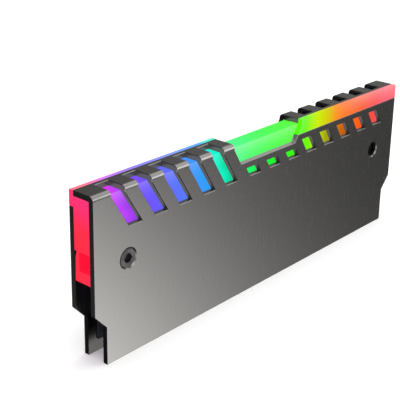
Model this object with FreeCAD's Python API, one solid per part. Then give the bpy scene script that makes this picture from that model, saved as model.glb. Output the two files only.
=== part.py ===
import FreeCAD, Part
import math
import os

# Clamp-on heat spreader for one memory module, with a lit bar along its top edge.
# Two like sheets face each other across the bar. Each one's left half, seen from its own
# side, is folded back over the bar and slotted, and its right half stops lower and lets a
# band of the bar show. The second sheet is the first one turned half round about Z.
# X runs along the module, -Y is the front, Z is up from the sheets' lower edges.
# All sizes are in millimetres.

LENGTH = 136.0              # over both ends
HEIGHT = 47.0               # lower edges to the top of the folds
SHEET = 1.5                 # thickness of the two sheets
GAP = 5.5                   # between the inner faces of the sheets
BEND_OUTER = 1.3            # radius of the fold on its outside
BEND_INNER = 0.2            # radius of the fold on its inside

NOTCH_DEPTH = 3.9           # lower corners, which clear the latches of the socket
NOTCH_TOP = 15.0            # where the notch starts on the end edge
NOTCH_RISE = 4.2            # height of its sloping top

BAND = 4.35                 # height of the bar that shows beside a fold
DIP = 2.15                  # how much lower the sheet is between the two folds
DIP_HALF = 12.45            # half of the dip's length at its lower edge
LEAN = math.tan(math.radians(32.6))     # sideways lean of every slot and slanted edge

SLOT_WIDTH = 4.55
SLOT_PITCH = 9.35
SLOT_END = 6.0              # first slot to the end of the sheet, on the fold
SLOT_RIM = 1.2              # sheet left between a slot and the fold's rear edge
SLOT_LAST = 2.0             # least sheet left beside the last slot
WINDOW_WIDTH = 4.75
WINDOW_PITCH = 9.1
WINDOW_FIRST = -8.25        # lower left corner of the first window
WINDOW_WEB = 1.93           # sheet left above a window
WINDOW_SHORT = 2.62         # height of the windows under the dip
WINDOW_END = 4.0            # least sheet left beside the last window
EDGE_BREAK = 0.15           # bevel round slots and windows and along the trimmed top

BAR_BOTTOM = 23.0           # lower face of the light bar, which rests on the module
BAR_ROUND = 0.8             # edges of the bar between the folds
BAR_EDGE = 0.3              # its other long edges
BAR_SOLE = 3.0              # bar below the groove for the board
GROOVE_HEIGHT = 5.2         # groove, open to the front sheet
GROOVE_WALL = 1.35          # rear wall of the groove at its thinnest
BAR_EASE = 0.15             # play between the bar's foot and the back sheet
BAR_NICK = 0.75             # depth of the nick above the foot
NICK_HEIGHT = 1.8

SCREW_END = 11.55           # screw's axis to the end of the sheet
SCREW_RISE = 4.25           # and to the lower face of the bar
SHANK_RADIUS = 1.5
SHANK_CLEARANCE = 0.15
HEAD_RADIUS = 2.55
HEAD_GAP = 0.45             # open ring round the head, at the face of the sheet
HEAD_SINK = 0.15            # head below the face of the sheet
TIP_SINK = 1.1              # tip below the face of the other sheet
TIP_CHAMFER = 0.3
HEX_FLATS = 2.5
HEX_DEPTH = 1.1
NUT_RADIUS = 2.35
NUT_MOUTH = 0.35            # bevel of the sheet's hole for it
NUT_LEAD = 0.25             # bevel at the start of its thread
NUT_SINK = 0.8              # nut below the face of the sheet
NUT_INSIDE = 1.0            # length of the nut past the sheet's inner face
NUT_CLEARANCE = 0.15

BOARD_THICKNESS = 0.8
BOARD_PLAY = 0.1            # on each long side of the board
BOARD_SCREW_GAP = 2.0       # end of the board to the screw's shank
LED_SIDE = 2.0
LED_HEIGHT = 0.85
LED_PITCH = 10.4
LED_WELL = 1.5              # diameter of the round well in its top
LED_WELL_DEPTH = 0.1
CHIP_SIDE = 3.0
CHIP_HEIGHT = 0.75
CAPACITOR = (0.8, 1.6, 0.8)     # along X, along Y, height
RESISTOR = (0.5, 1.0, 0.35)
PART_GAP = 0.8              # between a light and the small part beside it
SOCKET_LENGTH = 4.2
SOCKET_WIDTH = 3.3
SOCKET_HEIGHT = 2.1
SOCKET_WALL = 0.35
SOCKET_DEPTH = 3.0          # of its mouth
PIN_PITCH = 0.8
PIN_SIDE = 0.3
PIN_LENGTH = 2.4            # part of a pin in the mouth
PIN_COUNT = 3

PAD_THICKNESS = 0.5
PAD_END = 7.0               # pad to the end of the sheet
PAD_BOTTOM = 3.5
PAD_BAR_GAP = 2.5           # pad's top to the lower face of the bar

V = FreeCAD.Vector
X_AXIS = V(1, 0, 0)
Y_AXIS = V(0, 1, 0)
Z_AXIS = V(0, 0, 1)

half_length = LENGTH / 2
inner = GAP / 2                          # a sheet's inner face, from the middle plane
outer = inner + SHEET                    # its outer face
under_fold = HEIGHT - SHEET              # underside of the folds and top of the bar
edge_low = HEIGHT - BAND                 # top edge of a sheet beside the fold
edge_dip = edge_low - DIP                # and between the folds
rib_bottom = edge_dip - WINDOW_WEB - WINDOW_SHORT       # lower edge of slots and windows
lean_top = under_fold - BEND_INNER                      # where slanted edges turn straight
fold_end = DIP_HALF + (lean_top - edge_dip) * LEAN      # where both folds stop
screw_x = half_length - SCREW_END
screw_z = BAR_BOTTOM + SCREW_RISE
groove_floor = BAR_BOTTOM + BAR_SOLE
groove_top = groove_floor + GROOVE_HEIGHT
groove_back = inner - BAR_EASE * 2 - GROOVE_WALL
board_top = groove_floor + BOARD_THICKNESS
board_half = screw_x - SHANK_RADIUS - BOARD_SCREW_GAP
board_front = -inner + BOARD_PLAY
board_back = groove_back - BOARD_PLAY
board_mid = (board_front + board_back) / 2


def polygon(points):
    """Flat face inside a closed run of straight edges."""
    return Part.Face(Part.makePolygon(points + points[:1]))


def rounded(points, radius, fixed):
    """Face inside a polygon whose corners are rounded, apart from the ones in fixed."""
    count = len(points)
    starts = []
    ends = []
    edges = []
    for i, corner in enumerate(points):
        to_last = (points[i - 1] - corner).normalize()
        to_next = (points[(i + 1) % count] - corner).normalize()
        half_angle = to_last.getAngle(to_next) / 2
        r = 0 if i in fixed else radius
        setback = r / math.tan(half_angle)
        starts.append(corner + to_last * setback)
        ends.append(corner + to_next * setback)
        if r:
            to_centre = (to_last + to_next).normalize()
            middle = corner + to_centre * (r / math.sin(half_angle) - r)
            edges.append(Part.Arc(starts[i], middle, ends[i]).toShape())
    for i in range(count):
        following = starts[(i + 1) % count]
        edges.append(Part.LineSegment(ends[i], following).toShape())
    return Part.Face(Part.Wire(Part.__sortEdges__(edges)))


def extrude_x(face, length):
    return face.extrude(X_AXIS * length)


def half_turn(shape):
    """The same shape turned half round about Z, as the second sheet is."""
    turned = shape.copy()
    turned.rotate(V(0, 0, 0), Z_AXIS, 180)
    return turned


def rod(x, radius, y_from, y_to):
    """Cylinder along Y at the height of the screws."""
    return Part.makeCylinder(radius, y_to - y_from, V(x, y_from, screw_z), Y_AXIS)


def cone(x, r_from, r_to, y_from, y_to):
    """Cone along Y at the height of the screws."""
    return Part.makeCone(r_from, r_to, y_to - y_from, V(x, y_from, screw_z), Y_AXIS)


def block(x_mid, y_mid, z_low, size):
    """Block standing on z_low, centred on x_mid and y_mid."""
    corner = V(x_mid - size[0] / 2, y_mid - size[1] / 2, z_low)
    return Part.makeBox(size[0], size[1], size[2], corner)


def folded_strip():
    """Sheet of full length, folded back along its whole top edge."""
    bow = math.sqrt(0.5)
    outside = V(0, -outer + BEND_OUTER, HEIGHT - BEND_OUTER)
    inside = V(0, -inner + BEND_INNER, under_fold - BEND_INNER)
    corners = [
        V(0, -outer, 0), V(0, -outer, outside.z),
        V(0, outside.y, HEIGHT), V(0, inner, HEIGHT),
        V(0, inner, under_fold), V(0, inside.y, under_fold),
        V(0, -inner, inside.z), V(0, -inner, 0),
    ]
    arcs = {
        1: outside + V(0, -bow, bow) * BEND_OUTER,
        5: inside + V(0, -bow, bow) * BEND_INNER,
    }
    edges = []
    for i, start in enumerate(corners):
        end = corners[(i + 1) % len(corners)]
        if i in arcs:
            edges.append(Part.Arc(start, arcs[i], end).toShape())
        else:
            edges.append(Part.LineSegment(start, end).toShape())
    strip = extrude_x(Part.Face(Part.Wire(edges)), LENGTH)
    strip.translate(V(-half_length, 0, 0))
    return strip


def trim_outline():
    """What is left of the strip seen from the front: notches, dip and lower right half."""
    foot = half_length - NOTCH_DEPTH
    shoulder = NOTCH_TOP - NOTCH_RISE
    outline = [
        (-foot, 0), (foot, 0), (foot, shoulder), (half_length, NOTCH_TOP),
        (half_length, edge_low), (DIP_HALF + DIP * LEAN, edge_low),
        (DIP_HALF, edge_dip), (-DIP_HALF, edge_dip),
        (-fold_end, lean_top), (-fold_end, HEIGHT), (-half_length, HEIGHT),
        (-half_length, NOTCH_TOP), (-foot, shoulder),
    ]
    face = polygon([V(x, -outer, z) for x, z in outline])
    return face.extrude(Y_AXIS * GAP * 2)


def slot(x_low):
    """Cutter of one slot: it leans up the face, and turns straight back over the fold."""
    x_high = x_low - (lean_top - rib_bottom) * LEAN
    past = SHEET                          # how far the cutter runs past the sheet
    leaning = polygon([
        V(x_low, -outer - past, rib_bottom), V(x_low + SLOT_WIDTH, -outer - past, rib_bottom),
        V(x_high + SLOT_WIDTH, -outer - past, lean_top), V(x_high, -outer - past, lean_top),
    ]).extrude(Y_AXIS * SHEET * 2)
    over = polygon([
        V(x_high, -outer - past, lean_top), V(x_high + SLOT_WIDTH, -outer - past, lean_top),
        V(x_high + SLOT_WIDTH, inner - SLOT_RIM, lean_top), V(x_high, inner - SLOT_RIM, lean_top),
    ]).extrude(Z_AXIS * SHEET * 2)
    return leaning.fuse(over).removeSplitter()


def window(x_low):
    """Cutter of one leaning window under the sheet's top edge."""
    top = (edge_dip if x_low < DIP_HALF else edge_low) - WINDOW_WEB
    shift = (top - rib_bottom) * LEAN
    return polygon([
        V(x_low, -outer - SHEET, rib_bottom), V(x_low + WINDOW_WIDTH, -outer - SHEET, rib_bottom),
        V(x_low + WINDOW_WIDTH - shift, -outer - SHEET, top), V(x_low - shift, -outer - SHEET, top),
    ]).extrude(Y_AXIS * SHEET * 3)


def slots():
    """Cutters of all slots, as many as the fold's length holds."""
    first = -half_length + SLOT_END
    room = half_length - fold_end - SLOT_END - SLOT_WIDTH - SLOT_LAST
    count = int(room / SLOT_PITCH) + 1
    lean = (lean_top - rib_bottom) * LEAN
    return [slot(first + lean + i * SLOT_PITCH) for i in range(count)]


def windows():
    """Cutters of all windows, as many as fit before the end of the sheet."""
    room = half_length - WINDOW_END - WINDOW_WIDTH - WINDOW_FIRST
    count = int(room / WINDOW_PITCH) + 1
    return [window(WINDOW_FIRST + i * WINDOW_PITCH) for i in range(count)]


def sheet_holes():
    """Countersunk hole on the left for a screw, and the press nut's hole on the right."""
    sink = HEAD_RADIUS + HEAD_GAP
    through = SHANK_RADIUS + SHANK_CLEARANCE
    left = cone(-screw_x, sink, through, -outer, -outer + sink - through)
    left = left.fuse(rod(-screw_x, through, -outer, -inner))
    mouth = NUT_RADIUS + NUT_MOUTH
    right = cone(screw_x, mouth, NUT_RADIUS, -outer, -outer + NUT_MOUTH)
    right = right.fuse(rod(screw_x, NUT_RADIUS, -outer, -inner))
    return [left, right]


def outside_faces(plate):
    """Faces on the sheet's outside: its front, the bend and the top of the fold."""
    near = SHEET / 100
    return [f for f in plate.Faces if f.BoundBox.YMax < -outer + near
            or f.BoundBox.ZMin > HEIGHT - near
            or isinstance(f.Surface, Part.Cylinder) and abs(f.Surface.Radius - BEND_OUTER) < near]


def cut_edges(plate):
    """Outside edges round the slots and windows and along the trimmed top."""
    near = SHEET / 100
    sharing = {}
    for face in outside_faces(plate):
        for edge in face.Edges:
            sharing.setdefault(edge.hashCode(), []).append(edge)
    rims = [edges[0] for edges in sharing.values() if len(edges) == 1]
    return [e for e in rims if e.BoundBox.ZMin > rib_bottom - near
            and abs(e.CenterOfMass.x) < half_length - near and e.BoundBox.YMin < inner - near]


def front_plate():
    """Folded, trimmed and pierced sheet."""
    plate = folded_strip().common(trim_outline())
    plate = plate.cut(slots() + windows() + sheet_holes()).removeSplitter()
    return plate.makeChamfer(EDGE_BREAK, cut_edges(plate)).Solids[0]


def bar_section():
    """Section of the light bar's core: head, nick at the back, foot with the board's groove."""
    foot_back = inner - BAR_EASE
    nick_low = groove_top - NICK_HEIGHT
    points = [
        (-inner, BAR_BOTTOM), (foot_back, BAR_BOTTOM), (foot_back - BAR_EASE, nick_low),
        (inner - BAR_NICK, groove_top), (inner, groove_top), (inner, under_fold),
        (-inner, under_fold), (-inner, groove_top), (groove_back, groove_top),
        (groove_back, groove_floor), (-inner, groove_floor),
    ]
    return [V(0, y, z) for y, z in points]


def bar_length(x_from, x_to, radius):
    """Length of the core with both top edges rounded to one radius."""
    points = bar_section()
    square = [i for i, p in enumerate(points) if p.z < under_fold]
    piece = extrude_x(rounded(points, radius, fixed=square), x_to - x_from)
    piece.translate(V(x_from, 0, 0))
    return piece


def bar_band():
    """Band of the bar in front of the core, which stands on the right half of the front sheet."""
    start = fold_end - (lean_top - edge_low) * LEAN
    outline = [
        (start, edge_low), (half_length, edge_low), (half_length, HEIGHT),
        (fold_end, HEIGHT), (fold_end, lean_top),
    ]
    band = polygon([V(x, -outer, z) for x, z in outline]).extrude(Y_AXIS * SHEET)
    crown = [e for e in band.Edges if e.BoundBox.ZMin > HEIGHT - SHEET / 2
             and e.BoundBox.YMax < -outer + SHEET / 2 and e.BoundBox.XLength > SHEET]
    return band.makeFillet(BAR_EDGE, crown)


def light_bar():
    """Milky bar between the sheets, with its two bands and the holes of the screws."""
    bar = bar_length(-half_length, -fold_end, BAR_EDGE)
    bar = bar.fuse([
        bar_length(-fold_end, fold_end, BAR_ROUND),
        bar_length(fold_end, half_length, BAR_EDGE),
        bar_band(), half_turn(bar_band()),
    ])
    nut_room = NUT_RADIUS + NUT_CLEARANCE
    nut_depth = NUT_INSIDE + NUT_CLEARANCE
    for side in (-1, 1):
        bar = bar.cut(rod(side * screw_x, SHANK_RADIUS + SHANK_CLEARANCE, -inner, inner))
    bar = bar.cut(rod(-screw_x, nut_room, inner - nut_depth, inner))
    bar = bar.cut(rod(screw_x, nut_room, -inner, -inner + nut_depth))
    return bar.removeSplitter()


def clamp_screw():
    """Countersunk screw put in from the front at the left, with a hex socket."""
    top = -outer + HEAD_SINK
    rim = -outer + HEAD_GAP
    neck = rim + HEAD_RADIUS - SHANK_RADIUS
    tip = outer - TIP_SINK
    screw = rod(-screw_x, HEAD_RADIUS, top, rim)
    screw = screw.fuse(cone(-screw_x, HEAD_RADIUS, SHANK_RADIUS, rim, neck))
    screw = screw.fuse(rod(-screw_x, SHANK_RADIUS, neck, tip - TIP_CHAMFER))
    end = cone(-screw_x, SHANK_RADIUS, SHANK_RADIUS - TIP_CHAMFER, tip - TIP_CHAMFER, tip)
    screw = screw.fuse(end)
    corner = HEX_FLATS / 2 / math.cos(math.radians(30))
    ring = []
    for i in range(6):
        turn = math.radians(60 * i)
        ring.append(V(-screw_x + corner * math.cos(turn), top, screw_z + corner * math.sin(turn)))
    return screw.cut(polygon(ring).extrude(Y_AXIS * HEX_DEPTH)).removeSplitter()


def press_nut():
    """Round threaded nut pressed into the front sheet at the right."""
    top = -outer + NUT_SINK
    end = -inner + NUT_INSIDE
    lead = cone(screw_x, SHANK_RADIUS + NUT_LEAD, SHANK_RADIUS, top, top + NUT_LEAD)
    return rod(screw_x, NUT_RADIUS, top, end).cut([rod(screw_x, SHANK_RADIUS, top, end), lead])


def led_board():
    """Narrow board in the bar's groove, between the two screws."""
    size = (board_half * 2, board_back - board_front, BOARD_THICKNESS)
    return block(0, board_mid, groove_floor, size)


def led(x):
    """Square light on the board with a shallow round lens well."""
    body = block(x, board_mid, board_top, (LED_SIDE, LED_SIDE, LED_HEIGHT))
    top = board_top + LED_HEIGHT
    well = Part.makeCone(LED_WELL / 2 - LED_WELL_DEPTH, LED_WELL / 2, LED_WELL_DEPTH,
                         V(x, board_mid, top - LED_WELL_DEPTH))
    return body.cut(well)


def led_places():
    """Middles of the lights, evenly spaced and centred on the board."""
    room = 2 * board_half - LED_SIDE - 2 * SOCKET_LENGTH
    count = int(room / LED_PITCH) + 1
    return [(i - (count - 1) / 2) * LED_PITCH for i in range(count)]


def beside_leds(size, side):
    """Like small parts between the lights, each to the right (1) or left (-1) of its light."""
    places = led_places()[:-1] if side > 0 else led_places()[1:]
    reach = LED_SIDE / 2 + PART_GAP + size[0] / 2
    return [block(x + side * reach, board_mid, board_top, size) for x in places]


def controller():
    """Chip that runs the lights, halfway between two of them near the middle."""
    places = led_places()
    left = places[(len(places) - 1) // 2]
    size = (CHIP_SIDE, CHIP_SIDE, CHIP_HEIGHT)
    return block(left + LED_PITCH / 2, board_mid, board_top, size)


def power_socket():
    """Low socket at the right end of the board, with its mouth to the right."""
    x_mid = board_half - SOCKET_LENGTH / 2
    body = block(x_mid, board_mid, board_top, (SOCKET_LENGTH, SOCKET_WIDTH, SOCKET_HEIGHT))
    mouth = block(board_half - SOCKET_DEPTH / 2, board_mid, board_top + SOCKET_WALL,
                  (SOCKET_DEPTH, SOCKET_WIDTH - 2 * SOCKET_WALL, SOCKET_HEIGHT - 2 * SOCKET_WALL))
    return body.cut(mouth)


def socket_pins():
    """Contact pins standing in the socket's mouth."""
    back = board_half - SOCKET_DEPTH
    low = board_top + SOCKET_HEIGHT / 2 - PIN_SIDE / 2
    pins = []
    for i in range(PIN_COUNT):
        y = board_mid + (i - (PIN_COUNT - 1) / 2) * PIN_PITCH
        pins.append(block(back + PIN_LENGTH / 2, y, low, (PIN_LENGTH, PIN_SIDE, PIN_SIDE)))
    return pins


def thermal_pad():
    """Soft pad on the front sheet's inner face."""
    size = (LENGTH - 2 * PAD_END, PAD_THICKNESS, BAR_BOTTOM - PAD_BAR_GAP - PAD_BOTTOM)
    return block(0, -inner + PAD_THICKNESS / 2, PAD_BOTTOM, size)


def save(name, *solids):
    """One file for a node, which may be several like solids."""
    shape = solids[0] if len(solids) == 1 else Part.makeCompound(list(solids))
    shape.exportStep(os.path.join("parts", name + ".step"))


def main():
    os.makedirs("parts", exist_ok=True)
    plate = front_plate()
    pad = thermal_pad()
    screw = clamp_screw()
    nut = press_nut()
    save("front_plate", plate)
    save("back_plate", half_turn(plate))
    save("light_bar", light_bar())
    save("clamp_screws", screw, half_turn(screw))
    save("press_nuts", nut, half_turn(nut))
    save("front_thermal_pad", pad)
    save("back_thermal_pad", half_turn(pad))
    save("led_board", led_board())
    for i, x in enumerate(led_places()):
        save("led_%02d" % (i + 1), led(x))
    save("led_controller", controller())
    save("capacitors", *beside_leds(CAPACITOR, 1))
    save("resistors", *beside_leds(RESISTOR, -1))
    save("power_socket", power_socket())
    save("socket_pins", *socket_pins())


main()
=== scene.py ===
"""Finishes, small pieces and studio of a lit heat spreader for a memory module."""

import math

import bmesh
import bpy
from bpy.props import FloatProperty, FloatVectorProperty, PointerProperty
from bpy.types import Operator, Panel, PropertyGroup
from mathutils import Matrix, Vector


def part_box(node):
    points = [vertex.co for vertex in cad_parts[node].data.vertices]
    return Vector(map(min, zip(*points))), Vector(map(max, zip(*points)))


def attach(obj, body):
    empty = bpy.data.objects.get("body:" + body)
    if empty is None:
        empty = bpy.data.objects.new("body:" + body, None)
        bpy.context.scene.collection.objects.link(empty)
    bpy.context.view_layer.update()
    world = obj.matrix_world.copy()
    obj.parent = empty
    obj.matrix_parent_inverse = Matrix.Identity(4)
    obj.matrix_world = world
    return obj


bl_info = {
    "name": "Lit Heat Spreader",
    "version": (1, 0, 0),
    "blender": (4, 5, 0),
    "location": "3D View > Sidebar > Spreader",
    "description": "Finishes, small pieces and studio of a lit heat spreader",
    "category": "Object",
}

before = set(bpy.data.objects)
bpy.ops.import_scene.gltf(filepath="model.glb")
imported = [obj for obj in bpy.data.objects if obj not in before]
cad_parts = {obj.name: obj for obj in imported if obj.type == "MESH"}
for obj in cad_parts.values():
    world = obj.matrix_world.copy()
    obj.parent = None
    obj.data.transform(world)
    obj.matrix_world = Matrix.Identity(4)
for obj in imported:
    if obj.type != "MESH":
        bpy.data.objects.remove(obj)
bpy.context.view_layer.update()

MM = 0.001
BLACK = (0.0, 0.0, 0.0, 1.0)
WHITE = (1.0, 1.0, 1.0, 1.0)

# Sizes read from the frame, in metres
plate_low, plate_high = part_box("front_plate")
nuts_low, nuts_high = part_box("press_nuts")
board_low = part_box("led_board")[0]
outer_face = -plate_low.y
crown = plate_high.z
screw_z = (nuts_low.z + nuts_high.z) / 2
screw_x = nuts_high.x - (nuts_high.z - nuts_low.z) / 2
lights = sorted(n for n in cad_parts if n.startswith("led_") and n[4:].isdigit())

# The bar's colours from its left end to its right end: place in mm, red, green and blue to 255,
# and how much of the painted white highlight along the top edges the light takes there
GLOW = (
    (-70, (255, 45, 70), 1.0),
    (-66, (255, 40, 95), 1.0),
    (-64, (250, 35, 130), 1.0),
    (-60.5, (230, 40, 230), 1.0),
    (-57.5, (190, 65, 250), 1.0),
    (-53, (150, 60, 235), 1.0),
    (-48, (110, 80, 250), 1.0),
    (-36, (90, 115, 250), 1.0),
    (-29.5, (60, 150, 250), 0.8),
    (-24, (35, 160, 250), 0.6),
    (-20.5, (5, 250, 210), 0.4),
    (-16, (5, 215, 155), 0.4),
    (-12, (35, 250, 130), 1.0),
    (-5, (20, 250, 85), 1.0),
    (5, (20, 250, 25), 1.0),
    (14, (60, 250, 15), 0.8),
    (20, (110, 245, 5), 0.25),
    (26, (200, 235, 0), 0.0),
    (31, (210, 205, 0), 0.0),
    (36, (245, 145, 0), 0.2),
    (40, (255, 120, 5), 0.5),
    (49, (255, 90, 15), 1.0),
    (57, (255, 75, 70), 1.0),
    (66, (255, 90, 110), 1.0),
)

# Where the light of the bar changes, in millimetres
MIDDLE_END = (14, 17)           # from the middle to the end of the bare dip
END_START = (60, 64)            # start of the bar's two ends
REAR_SLOTS = (15, 15.6)         # start of the slots in the rear fold
DIM_STRETCH = (25, 46)          # dimmer stretch between yellow and orange
POCKET_HEIGHT = (25.8, 31.4)    # floor and roof of the groove's open ends
POCKET_START = (55, 60)
POCKET_WALL = (2.65, 2.7)       # depth of the groove's rear wall
HIGHLIGHT_DEPTH = 7                  # how far down from the top the painted highlight starts
COLOUR_SHIFT = 2.4              # how far right the colours lie low down
COLOUR_LEAN = 0.6               # how far right they lie for each millimetre of depth

# Colours of the light at the bar's ends
POCKET_RED = (255, 20, 58)
END_PINK = (255, 62, 165)

# Where shade is painted on the metal, in millimetres
LEG_TOP = (10, 14)              # height of the painted shade on the legs' inner sides, fading out
HEAD_DEPTH = (1.6, 2.0)         # start of a screw's head, from the middle plane

# Small pieces, in millimetres
FILLET_REACH = 0.28             # solder's height, and its width on the board
FILLET_LENGTH = 0.55
FILLET_PLACE = 0.6              # from a light's middle to the middle of a fillet
FILLET_ROOM = 0.3               # least board beside a light
DOME_FOOT = (0.6, -0.09)        # radius and height
DOME_RADIUS = 0.62
DOME_BASE = 0.06
DOME_RISE = 0.22
PLATING = 0.02                  # how far the plated ends stand proud
PLATING_EDGE = 0.04
PLATED_SHARE = 0.22             # plated part of a body's length, at each end
ROUND_STEPS = 6                 # steps in a quarter of a circle

# Floor and camera
FLOOR_HALF = 4.0                # metres
FLOOR_FADE = (200, 700)         # from the floor's colour to white, millimetres from the part's middle
SENSOR_WIDTH = 36               # millimetres
NEAREST = 0.01                  # nearest point that the camera sees, in metres

# Soft boxes of the studio: azimuth from +X about Z and elevation in degrees, how narrow, how bright
SOFT_BOXES = {
    "low, lights the long face": (-59, -36.5, 38, 3.55),
    "front, lights the bends from below": (-41, 12.5, 34, 3.1),
    "upper, lights the bends from above": (14, 44, 22, 1.2),
    "between them, for the middle of the bends": (-25, 38, 36, 1.2),
    "overhead": (0, 90, 8, 0.8),
    "behind and low, for the back sheet": (102, -36, 30, 0.5),
    "behind, for the other long face": (42, -22, 14, 0.5),
    "behind, over the folds": (41, 24, 16, 0.14),
    "straight ahead": (-95, -12, 14, 0.5),
    "beside the camera, low": (-133, -18, 14, 0.9),
    "beside the camera, high": (-108, 39, 16, 1.7),
    "behind the left end": (142, -16, 10, 0.008),
    "left end": (190, -5, 18, 0.4),
    "right end": (8, -4, 24, 0.5),
}


def linear(red, green, blue):
    """Linear colour with alpha from the usual 0 to 255 values."""
    out = []
    for value in (red, green, blue):
        share = value / 255
        out.append(share / 12.92 if share <= 0.04045 else ((share + 0.055) / 1.055) ** 2.4)
    return (*out, 1.0)


def tone(colour, share=1.0):
    """A share of a linear colour, with alpha."""
    return (*[share * value for value in colour[:3]], 1.0)


class Socket:
    """Output of a shader node. Arithmetic with these and with numbers adds Math nodes."""

    def __init__(self, graph, output):
        self.graph = graph
        self.output = output

    def out(self, name):
        """Another output of the same node."""
        return Socket(self.graph, self.output.node.outputs[name])

    def __add__(self, other):
        return self.graph.math("ADD", self, other)

    def __radd__(self, other):
        return self.graph.math("ADD", other, self)

    def __sub__(self, other):
        return self.graph.math("SUBTRACT", self, other)

    def __rsub__(self, other):
        return self.graph.math("SUBTRACT", other, self)

    def __mul__(self, other):
        return self.graph.math("MULTIPLY", self, other)

    def __rmul__(self, other):
        return self.graph.math("MULTIPLY", other, self)

    def __truediv__(self, other):
        return self.graph.math("DIVIDE", self, other)

    def __rtruediv__(self, other):
        return self.graph.math("DIVIDE", other, self)

    def __pow__(self, other):
        return self.graph.math("POWER", self, other)

    def __rpow__(self, other):
        return self.graph.math("POWER", other, self)

    def __abs__(self):
        return self.graph.math("ABSOLUTE", self, 0)


class Graph:
    """Node tree of a material or of the world, emptied before it is filled."""

    def __init__(self, owner):
        owner.use_nodes = True
        self.tree = owner.node_tree
        self.tree.nodes.clear()

    def add(self, kind, settings=None, sockets=None):
        """New node: its settings come first, then the values or links of its sockets."""
        node = self.tree.nodes.new(kind)
        for name, value in (settings or {}).items():
            if name == "stops":
                self.set_stops(node.color_ramp, value)
            else:
                setattr(node, name, value)
        for key, value in (sockets or {}).items():
            if isinstance(value, Socket):
                self.tree.links.new(value.output, node.inputs[key])
            else:
                node.inputs[key].default_value = value
        return Socket(self, node.outputs[0]) if node.outputs else None

    @staticmethod
    def set_stops(ramp, stops):
        """Places and colours of a ramp, in order."""
        while len(ramp.elements) < len(stops):
            ramp.elements.new(1.0)
        for element, (place, colour) in zip(ramp.elements, stops):
            element.position = place
            element.color = colour

    def math(self, operation, first, second):
        return self.add("ShaderNodeMath", {"operation": operation}, {0: first, 1: second})

    def vector(self, operation, first, second):
        return self.add("ShaderNodeVectorMath", {"operation": operation}, {0: first, 1: second})

    def blend(self, factor, first, second):
        """Mix of two colours."""
        settings = {"data_type": "RGBA", "clamp_factor": True}
        return self.add("ShaderNodeMix", settings, {0: factor, 6: first, 7: second}).out(2)

    def step(self, value, low, high):
        """0 below low, 1 above high and smooth between them."""
        sockets = {"Value": value, "From Min": low, "From Max": high}
        return self.add("ShaderNodeMapRange", {"interpolation_type": "SMOOTHSTEP"}, sockets)

    def within(self, value, low, high, soft):
        """1 between low and high, 0 outside them, with soft edges inside."""
        return self.step(value, low, low + soft) * (1 - self.step(value, high - soft, high))

    def place(self):
        """Point on the part in millimetres."""
        metres = self.add("ShaderNodeTexCoord").out("Object")
        return self.add("ShaderNodeVectorMath", {"operation": "SCALE"}, {0: metres, "Scale": 1 / MM})

    def grey(self, value):
        """Colour of equal red, green and blue."""
        return self.add("ShaderNodeCombineColor", None, {0: value, 1: value, 2: value})

    def parts(self, vector):
        """The three values of a vector."""
        split = self.add("ShaderNodeSeparateXYZ", None, {0: vector})
        return split, split.out(1), split.out(2)

    def noise(self, vector, scale, detail=2.0, rough=0.5):
        sockets = {"Vector": vector, "Scale": scale, "Detail": detail, "Roughness": rough}
        return self.add("ShaderNodeTexNoise", None, sockets)

    def bump(self, height, depth):
        """Normal of a surface that is raised by height times depth, in millimetres."""
        sockets = {"Height": height, "Distance": depth * MM, "Strength": 1.0}
        return self.add("ShaderNodeBump", None, sockets)

    def surface(self, sockets):
        """Principled surface as the material's output."""
        shader = self.add("ShaderNodeBsdfPrincipled", None, sockets)
        self.add("ShaderNodeOutputMaterial", None, {"Surface": shader})


def new_material(name):
    material = bpy.data.materials.new(name)
    return material, Graph(material)


def dress(nodes, material):
    """Puts one material on CAD nodes."""
    for name in nodes:
        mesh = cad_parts[name].data
        mesh.materials.clear()
        mesh.materials.append(material)


def add_piece(name, shape, material):
    """Closed mesh that rides with the part."""
    mesh = bpy.data.meshes.new(name)
    bmesh.ops.recalc_face_normals(shape, faces=shape.faces)
    shape.to_mesh(mesh)
    shape.free()
    mesh.materials.append(material)
    piece = bpy.data.objects.new(name, mesh)
    bpy.context.scene.collection.objects.link(piece)
    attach(piece, "root")


def soft_block(shape, low, high, bevel):
    """Adds a block with softened edges between two corners."""
    made = bmesh.ops.create_cube(shape, size=1.0)["verts"]
    bmesh.ops.scale(shape, vec=high - low, verts=made)
    bmesh.ops.translate(shape, vec=(low + high) / 2, verts=made)
    edges = list({edge for vert in made for edge in vert.link_edges})
    bmesh.ops.bevel(shape, geom=edges, offset=bevel, segments=2, affect="EDGES", profile=0.5)


def turned(shape, middle, outline, segments=32):
    """Adds a closed turned form: outline holds its radii and heights from the bottom, in millimetres."""
    rings_made = []
    for radius, height in outline:
        ring = []
        for i in range(segments):
            turn = 2 * math.pi * i / segments
            offset = Vector((radius * math.cos(turn), radius * math.sin(turn), height)) * MM
            ring.append(shape.verts.new(middle + offset))
        rings_made.append(ring)
    for low, high in zip(rings_made, rings_made[1:]):
        for i in range(segments):
            j = (i + 1) % segments
            shape.faces.new((low[i], low[j], high[j], high[i]))
    shape.faces.new(list(reversed(rings_made[0])))
    shape.faces.new(rings_made[-1])


def fillet(shape, corner, along, out, up, length):
    """Adds a wedge of solder with a hollow face: it lies along one way and climbs the other."""
    reach = FILLET_REACH * MM
    outline = []
    for i in range(ROUND_STEPS + 1):
        turn = math.pi / 2 * i / ROUND_STEPS
        outline.append(out * reach * (1 - math.sin(turn)) + up * reach * (1 - math.cos(turn)))
    ends = []
    for side in (-0.5, 0.5):
        place = corner + along * (side * length)
        ends.append([shape.verts.new(place)] + [shape.verts.new(place + point) for point in outline])
    count = len(ends[0])
    for i in range(count):
        j = (i + 1) % count
        shape.faces.new((ends[0][i], ends[0][j], ends[1][j], ends[1][i]))
    shape.faces.new(list(reversed(ends[0])))
    shape.faces.new(ends[1])


# Finishes

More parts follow.
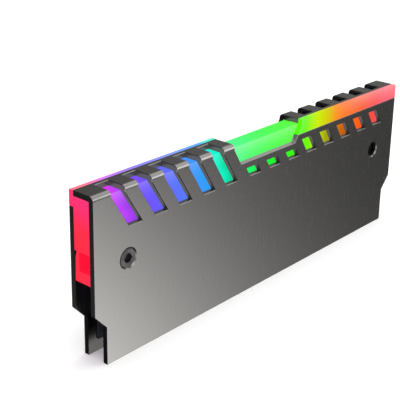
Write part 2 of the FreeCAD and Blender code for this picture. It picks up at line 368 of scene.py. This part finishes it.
def sheet_metal(look):
    """Grey anodised aluminium with a fine even grain, with painted shade on the inner sides of the legs,
    in the gap between the sheets.
    """
    material, g = new_material("anodised_sheet")
    place = g.place()
    cloud = g.noise(place, 0.05, 3.0)
    streak = g.noise(g.vector("MULTIPLY", place, (3.0, 3.0, 0.12)), 1.6, 3.0, 0.6)
    grain = g.noise(place, 7.0, 3.0, 0.7)
    colour = g.blend(0.5 * streak + 0.5 * cloud, tone(look.colour, 0.97), tone(look.colour))
    rough = look.roughness - 0.015 + 0.01 * streak + 0.02 * grain
    _, y, z = g.parts(place)
    face = outer_face / MM
    # Painted shade: low down, the legs' inner sides and cut edges are blended most of the way to black
    inside = 1 - g.step(abs(y), face - 0.3, face - 0.1)
    painted_leg_shade = inside * (1 - g.step(z, *LEG_TOP))
    colour = g.blend(0.75 * painted_leg_shade, colour, BLACK)
    g.surface({
        "Base Color": colour,
        "Metallic": 1.0,
        "Roughness": rough,
        "Normal": g.bump(grain + 0.25 * streak, look.grain),
    })
    return material


def glow_colour(g, x):
    """Colour of the light at a place along the bar in millimetres, with its share of the painted
    top-edge highlight as alpha.
    """
    low = GLOW[0][0]
    length = GLOW[-1][0] - low
    stops = [((at - low) / length, (*linear(*colour)[:3], pale)) for at, colour, pale in GLOW]
    return g.add("ShaderNodeValToRGB", {"stops": stops}, {"Fac": (x - low) / length})


def milky_bar(look):
    """Milky acrylic lit from inside: deep colour low down, with a painted white highlight towards the
    top edges, painted black shade under the rear fold's slots and a painted grey reflection in the
    metal.
    """
    material, g = new_material("milky_bar")
    place = g.place()
    x, y, z = g.parts(place)
    sideways, _, upward = g.parts(g.add("ShaderNodeNewGeometry").out("Normal"))
    top = crown / MM

    # Colour at this place along the bar
    low_down = 1 - g.step(z, top - 9, top - 5)
    along = x - COLOUR_LEAN * y - COLOUR_SHIFT * low_down
    colour = glow_colour(g, along)

    # Painted highlight: white mixed in towards the top edges and on the bare middle, but not on the
    # ledges under the folds
    rise = g.math("MAXIMUM", z - (top - HIGHLIGHT_DEPTH), 0) / HIGHLIGHT_DEPTH
    middle = 1 - g.step(abs(x), *MIDDLE_END)
    ledge = g.step(upward, 0.5, 0.95) * (1 - g.step(z, top - 1.2, top - 0.7))
    edges = rise * rise * (0.2 + 0.1 * middle) * (1 - ledge)
    pale = edges + 0.08 * middle * g.step(z, top - 8, top - 6)
    upright = 1 - g.step(abs(sideways), 0.3, 0.8)
    pale = pale * colour.out("Alpha") * upright * look.edge_highlight
    lit = g.blend(pale, colour, WHITE)

    # Dimmer between yellow and orange, and painted shade, black, under the rear fold's slots
    dim = g.within(along, *DIM_STRETCH, 5) * (1 - g.step(z, top - 9, top - 4))
    painted_slot_shade = ledge * g.step(y, -0.2, 0.3) * g.step(x, *REAR_SLOTS)
    lit = g.blend(g.math("MAXIMUM", 0.45 * dim, painted_slot_shade), lit, BLACK)

    # Redder walls in the groove's open ends, and pinker tops of the end faces
    end_face = g.step(abs(sideways), 0.5, 0.95)
    pocket = g.within(z, *POCKET_HEIGHT, 0.15) * g.step(abs(x), *POCKET_START)
    pocket = pocket * (1 - g.step(abs(y), *POCKET_WALL)) * (1 - end_face)
    lit = g.blend(pocket, lit, linear(*POCKET_RED))
    end = end_face * g.step(abs(x), *END_START)
    lit = g.blend(0.4 * end * g.step(z, 35, top), lit, linear(*END_PINK))

    # Painted reflection: glossy rays see a weak grey in place of the bar's colour, brighter at the bare
    # middle's foot and none low down or under the rear fold's slots, so the metal mirrors only this grey
    foot = middle * g.step(z, top - 7, top - 6.5) * (1 - g.step(z, top - 5.6, top - 4.8))
    painted_reflection = (0.23 + 0.4 * foot) * g.step(z, top - 12, top - 10) * (1 - painted_slot_shade)
    glossy = g.add("ShaderNodeLightPath").out("Is Glossy Ray")
    g.surface({
        # Painted shade: the base colour too goes black under the rear fold's slots
        "Base Color": g.blend(0.9 + 0.1 * painted_slot_shade, colour, BLACK),
        "Roughness": 0.34 + 0.06 * g.noise(place, 0.18, 2.0),
        "Specular IOR Level": 0.06,
        # Painted reflection: what glossy rays see of the bar
        "Emission Color": g.blend(glossy, lit, g.grey(painted_reflection)),
        "Emission Strength": look.strength,
        "Normal": g.bump(g.noise(place, 2.2, 2.0), 0.02),
    })
    material.cycles.emission_sampling = "NONE"
    return material


def rings(g, pitch):
    """Height of turned rings round the screws' axes."""
    x, _, z = g.parts(g.place())
    aside = abs(x) - screw_x / MM
    up = z - screw_z / MM
    radius = (aside * aside + up * up) ** 0.5
    return g.math("SINE", radius * (2 * math.pi / pitch), 0)


def turned_steel(name, colour, roughness):
    """Dark steel with faint turned rings, with painted shade, near black, away from the screws' heads,
    down in the holes.
    """
    material, g = new_material(name)
    place = g.place()
    x, y, _ = g.parts(place)
    grain = g.noise(place, 6.0, 2.0)
    shade = g.blend(grain, tone(colour, 0.85), tone(colour))
    # The heads are where x and y have the same sign
    head = g.step(x * y, *[depth * screw_x / MM for depth in HEAD_DEPTH])
    g.surface({
        # Painted shade: all but the screws' heads goes nearly black
        "Base Color": g.blend(0.92 * (1 - head), shade, BLACK),
        "Metallic": 1.0,
        "Roughness": roughness + 0.08 * (grain - 0.5),
        "Normal": g.bump(rings(g, 0.22) + 0.5 * grain, 0.006),
    })
    return material


def plain_finish(name, colour, roughness, metallic=0.0, grain_scale=4.0, depth=0.01):
    """Even finish with a fine grain, for the small parts, the solder and the pads."""
    material, g = new_material(name)
    grain = g.noise(g.place(), grain_scale, 3.0, 0.6)
    g.surface({
        "Base Color": g.blend(grain, tone(colour, 0.88), tone(colour)),
        "Metallic": metallic,
        "Roughness": roughness + 0.1 * (grain - 0.5),
        "Normal": g.bump(grain, depth),
    })
    return material


def floor_finish(look):
    """Pale paint that fades to white away from the part."""
    material, g = new_material("floor_paint")
    place = g.place()
    cloud = g.noise(place, 0.004, 2.0)
    pale = look.floor_colour
    away = g.step(g.vector("LENGTH", place, (0, 0, 0)).out("Value"), *FLOOR_FADE)
    g.surface({
        "Base Color": g.blend(cloud, tone(pale), tone(pale, 0.98)),
        "Roughness": 0.75,
        "Specular IOR Level": 0.2,
        "Emission Color": g.blend(away, tone(pale, look.floor_lift), WHITE),
        "Emission Strength": 1.0,
    })
    return material


# Settings

def colour_setting(name, description, default):
    return FloatVectorProperty(
        name=name, description=description, default=default,
        subtype="COLOR", size=3, min=0.0, max=1.0,
    )


def share_setting(name, description, default):
    return FloatProperty(
        name=name, description=description, default=default,
        subtype="FACTOR", min=0.0, max=1.0,
    )


class SheetLook(PropertyGroup):
    """Finish of the two sheets."""

    colour: colour_setting("Colour", "Reflected colour of the sheets", (0.46, 0.452, 0.435))
    roughness: share_setting("Roughness", "Roughness of the sheets", 0.27)
    grain: FloatProperty(
        name="Grain", description="Depth of the grain in millimetres", default=0.0005, min=0.0,
    )


class BarLook(PropertyGroup):
    """Light of the bar."""

    strength: FloatProperty(
        name="Strength", description="Brightness of the lit bar", default=0.95, min=0.0,
    )
    # Painted highlight: white mixed in along the bar's top edges
    edge_highlight: share_setting("Paleness", "White mixed in along the top edges", 1.0)


class SteelLook(PropertyGroup):
    """Finish of the screws and the nuts."""

    screw_colour: colour_setting("Screws", "Colour of the screws", (0.2, 0.2, 0.205))
    nut_colour: colour_setting("Nuts", "Colour of the press nuts", (0.03, 0.03, 0.03))
    roughness: share_setting("Roughness", "Roughness of both", 0.34)


class StageLook(PropertyGroup):
    """Camera, floor and lamps."""

    azimuth: FloatProperty(
        name="Azimuth", description="Camera's angle round the part, from straight in front",
        default=math.radians(-48.813), subtype="ANGLE", unit="ROTATION",
    )
    elevation: FloatProperty(
        name="Elevation", description="Camera's angle above the horizon",
        default=math.radians(19.711), subtype="ANGLE", unit="ROTATION",
    )
    roll: FloatProperty(
        name="Roll", description="Camera's turn about its own axis",
        default=math.radians(1.034), subtype="ANGLE", unit="ROTATION",
    )
    distance: FloatProperty(
        name="Distance", description="Camera to the point that it looks at",
        default=0.267658, subtype="DISTANCE", unit="LENGTH",
    )
    aim: FloatVectorProperty(
        name="Aim", description="Point that the camera looks at",
        default=(-0.025171, 0.0, 0.046887), subtype="TRANSLATION", unit="LENGTH", size=3,
    )
    lens: FloatProperty(
        name="Focal length", description="Focal length in millimetres",
        default=89.813, subtype="DISTANCE_CAMERA", unit="CAMERA",
    )
    shift: FloatProperty(
        name="Shift", description="Vertical shift as a share of the picture", default=-0.125,
    )
    floor_colour: colour_setting("Floor", "Colour of the floor", (0.93, 0.93, 0.93))
    floor_lift: FloatProperty(
        name="Floor lift", description="Light that the floor itself adds", default=0.3, min=0.0,
    )
    lamp_power: FloatProperty(
        name="Overhead lamp", description="Power of the wide lamp over the floor",
        default=14.0, min=0.0, subtype="POWER", unit="POWER",
    )
    lamp_height: FloatProperty(
        name="Lamp height", description="Height of the wide lamp",
        default=1.2, subtype="DISTANCE", unit="LENGTH",
    )
    backdrop: FloatProperty(
        name="Backdrop", description="Brightness of the room behind the part", default=1.25, min=0.0,
    )
    dimness: FloatProperty(
        name="Room", description="Light of the room outside the soft boxes", default=0.004, min=0.0,
    )


# Pieces

class SPREADER_OT_sheets(Operator):
    """Finish the two folded sheets"""

    bl_idname = "spreader.sheets"
    bl_label = "Sheets"

    def execute(self, context):
        dress(("front_plate", "back_plate"), sheet_metal(context.scene.spreader_sheets))
        return {"FINISHED"}


class SPREADER_OT_bar(Operator):
    """Light the milky bar"""

    bl_idname = "spreader.bar"
    bl_label = "Light Bar"

    def execute(self, context):
        dress(("light_bar",), milky_bar(context.scene.spreader_bar))
        return {"FINISHED"}


class SPREADER_OT_steel(Operator):
    """Finish the screws and the press nuts"""

    bl_idname = "spreader.steel"
    bl_label = "Screws and Nuts"

    def execute(self, context):
        look = context.scene.spreader_steel
        dress(("clamp_screws",), turned_steel("screw_steel", look.screw_colour, look.roughness))
        dress(("press_nuts",), turned_steel("nut_steel", look.nut_colour, look.roughness))
        return {"FINISHED"}


class SPREADER_OT_pads(Operator):
    """Finish the soft pads on the sheets' inner faces"""

    bl_idname = "spreader.pads"
    bl_label = "Thermal Pads"

    def execute(self, context):
        finish = plain_finish("silicone_pad", (0.05, 0.06, 0.075), 0.7, grain_scale=1.4, depth=0.05)
        dress(("front_thermal_pad", "back_thermal_pad"), finish)
        return {"FINISHED"}


class SPREADER_OT_board(Operator):
    """Finish the board of lights and what stands on it"""

    bl_idname = "spreader.board"
    bl_label = "Board of Lights"

    def execute(self, context):
        dress(("led_board",), plain_finish("solder_mask", (0.02, 0.02, 0.022), 0.4))
        dress(("led_controller",), plain_finish("chip_resin", (0.015, 0.015, 0.016), 0.5))
        dress(("capacitors",), plain_finish("capacitor_body", (0.42, 0.28, 0.17), 0.45))
        dress(("resistors",), plain_finish("resistor_body", (0.03, 0.03, 0.032), 0.4))
        dress(("power_socket",), plain_finish("socket_nylon", (0.75, 0.73, 0.66), 0.45))
        dress(("socket_pins",), plain_finish("pin_plating", (0.8, 0.62, 0.3), 0.25, metallic=1.0))
        dress(lights, plain_finish("light_body", (0.8, 0.79, 0.74), 0.5))
        return {"FINISHED"}


class SPREADER_OT_lenses(Operator):
    """Add the clear domes over the lights and the solder at their feet"""

    bl_idname = "spreader.lenses"
    bl_label = "Lenses and Solder"

    def execute(self, context):
        look = context.scene.spreader_bar
        domes = bmesh.new()
        solder = bmesh.new()
        for name in lights:
            low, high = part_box(name)
            middle = (low + high) / 2
            self.add_dome(domes, Vector((middle.x, middle.y, high.z)))
            for side, edge in ((-1, low.y), (1, high.y)):
                for shift in (-FILLET_PLACE, FILLET_PLACE):
                    foot = Vector((middle.x + shift * MM, edge, low.z))
                    out = Vector((0, side, 0))
                    fillet(solder, foot, Vector((1, 0, 0)), out, Vector((0, 0, 1)), FILLET_LENGTH * MM)
        if abs(board_low.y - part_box(lights[0])[0].y) < FILLET_ROOM * MM:
            raise RuntimeError("The lights leave no room for their solder")
        add_piece("light_domes", domes, self.dome_finish(look))
        bright = plain_finish("solder", (0.74, 0.73, 0.7), 0.28, metallic=1.0)
        add_piece("light_solder", solder, bright)
        return {"FINISHED"}

    def add_dome(self, shape, top):
        """Adds the shallow dome that stands in the well of a light."""
        outline = [DOME_FOOT]
        for i in range(ROUND_STEPS):
            turn = math.pi / 2 * i / ROUND_STEPS
            outline.append((DOME_RADIUS * math.cos(turn), DOME_BASE + DOME_RISE * math.sin(turn)))
        turned(shape, top, outline)

    def dome_finish(self, look):
        """Clear resin that glows in the bar's colour."""
        material, g = new_material("lit_dome")
        colour = glow_colour(g, g.parts(g.place())[0])
        g.surface({
            "Base Color": g.blend(0.4, colour, WHITE),
            "Roughness": 0.12,
            "Emission Color": g.blend(0.5, colour, WHITE),
            "Emission Strength": 2 * look.strength,
        })
        material.cycles.emission_sampling = "NONE"
        return material


class SPREADER_OT_end_caps(Operator):
    """Add the plated ends of the capacitors and the resistors"""

    bl_idname = "spreader.end_caps"
    bl_label = "Plated Ends"

    def execute(self, context):
        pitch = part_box(lights[1])[0].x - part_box(lights[0])[0].x
        count = len(lights) - 1
        skin = PLATING * MM
        caps = bmesh.new()
        for name in ("capacitors", "resistors"):
            low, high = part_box(name)
            width = high.x - low.x - (count - 1) * pitch
            reach = PLATED_SHARE * (high.y - low.y)
            for i in range(count):
                left = low.x + i * pitch
                for front, back in ((low.y, low.y + reach), (high.y - reach, high.y)):
                    start = Vector((left - skin, front - skin, low.z))
                    stop = Vector((left + width + skin, back + skin, high.z + skin))
                    soft_block(caps, start, stop, PLATING_EDGE * MM)
        bright = plain_finish("plated_ends", (0.72, 0.71, 0.69), 0.32, metallic=1.0)
        add_piece("plated_ends", caps, bright)
        return {"FINISHED"}


def sky(g, look):
    """Brightness of the room in every direction: dim, with the soft boxes."""
    direction = g.add("ShaderNodeTexCoord")
    total = look.dimness
    for azimuth, elevation, sharpness, strength in SOFT_BOXES.values():
        turn = math.radians(azimuth)
        rise = math.radians(elevation)
        toward = (
            math.cos(rise) * math.cos(turn),
            math.cos(rise) * math.sin(turn),
            math.sin(rise),
        )
        facing = g.vector("DOT_PRODUCT", direction, toward).out("Value")
        total = total + strength * g.math("MAXIMUM", facing, 0) ** sharpness
    return total


class SPREADER_OT_stage(Operator):
    """Set up the floor, the light and the camera"""

    bl_idname = "spreader.stage"
    bl_label = "Stage"

    def execute(self, context):
        look = context.scene.spreader_stage
        self.add_floor(look)
        self.add_light(look)
        self.add_camera(look)
        context.scene.view_settings.view_transform = "Standard"
        return {"FINISHED"}

    def add_floor(self, look):
        shape = bmesh.new()
        bmesh.ops.create_grid(shape, x_segments=8, y_segments=8, size=FLOOR_HALF)
        mesh = bpy.data.meshes.new("floor")
        shape.to_mesh(mesh)
        shape.free()
        mesh.materials.append(floor_finish(look))
        floor = bpy.data.objects.new("floor", mesh)
        floor.visible_glossy = False
        floor.visible_shadow = False
        bpy.context.scene.collection.objects.link(floor)

    def add_light(self, look):
        world = bpy.data.worlds.new("studio")
        bpy.context.scene.world = world
        g = Graph(world)
        seen = g.add("ShaderNodeLightPath").out("Is Camera Ray")
        strength = look.backdrop * seen + (1 - seen) * sky(g, look)
        room = g.add("ShaderNodeBackground", None, {"Strength": strength})
        g.add("ShaderNodeOutputWorld", None, {"Surface": room})
        data = bpy.data.lights.new("overhead_lamp", "AREA")
        data.shape = "SQUARE"
        data.size = look.lamp_height
        data.energy = look.lamp_power
        lamp = bpy.data.objects.new("overhead_lamp", data)
        lamp.location = (0, 0, look.lamp_height)
        lamp.visible_camera = False
        lamp.visible_glossy = False
        bpy.context.scene.collection.objects.link(lamp)

    def add_camera(self, look):
        azimuth = look.azimuth
        rise = look.elevation
        back = Vector((
            math.sin(azimuth) * math.cos(rise),
            -math.cos(azimuth) * math.cos(rise),
            math.sin(rise),
        ))
        level = Vector((math.cos(azimuth), math.sin(azimuth), 0))
        steep = back.cross(level)
        right = level * math.cos(look.roll) + steep * math.sin(look.roll)
        up = steep * math.cos(look.roll) - level * math.sin(look.roll)
        turn = Matrix((right, up, back)).transposed().to_4x4()
        data = bpy.data.cameras.new("camera")
        data.sensor_width = SENSOR_WIDTH
        data.lens = look.lens
        data.shift_y = look.shift
        data.clip_start = NEAREST
        camera = bpy.data.objects.new("camera", data)
        camera.matrix_world = Matrix.Translation(Vector(look.aim) + back * look.distance) @ turn
        bpy.context.scene.collection.objects.link(camera)
        bpy.context.scene.camera = camera


class SPREADER_PT_tools(Panel):
    """Lists the pieces and the stage"""

    bl_idname = "SPREADER_PT_tools"
    bl_label = "Heat Spreader"
    bl_space_type = "VIEW_3D"
    bl_region_type = "UI"
    bl_category = "Spreader"

    def draw(self, context):
        for operator in OPERATORS:
            self.layout.operator(operator.bl_idname)
        for name in LOOKS:
            box = self.layout.box()
            settings = getattr(context.scene, name)
            for field in settings.bl_rna.properties:
                if not field.is_readonly and field.identifier != "name":
                    box.prop(settings, field.identifier)


OPERATORS = (
    SPREADER_OT_sheets,
    SPREADER_OT_bar,
    SPREADER_OT_steel,
    SPREADER_OT_pads,
    SPREADER_OT_board,
    SPREADER_OT_lenses,
    SPREADER_OT_end_caps,
    SPREADER_OT_stage,
)
LOOKS = {
    "spreader_sheets": SheetLook,
    "spreader_bar": BarLook,
    "spreader_steel": SteelLook,
    "spreader_stage": StageLook,
}


def register():
    for look in LOOKS.values():
        bpy.utils.register_class(look)
    for operator in OPERATORS:
        bpy.utils.register_class(operator)
    bpy.utils.register_class(SPREADER_PT_tools)
    for name, look in LOOKS.items():
        setattr(bpy.types.Scene, name, PointerProperty(type=look))


def unregister():
    for name in LOOKS:
        delattr(bpy.types.Scene, name)
    bpy.utils.unregister_class(SPREADER_PT_tools)
    for operator in reversed(OPERATORS):
        bpy.utils.unregister_class(operator)
    for look in reversed(LOOKS.values()):
        bpy.utils.unregister_class(look)


def main():
    register()
    bpy.ops.spreader.sheets()
    bpy.ops.spreader.bar()
    bpy.ops.spreader.steel()
    bpy.ops.spreader.pads()
    bpy.ops.spreader.board()
    bpy.ops.spreader.lenses()
    bpy.ops.spreader.end_caps()
    bpy.ops.spreader.stage()


if __name__ == "__main__":
    main()
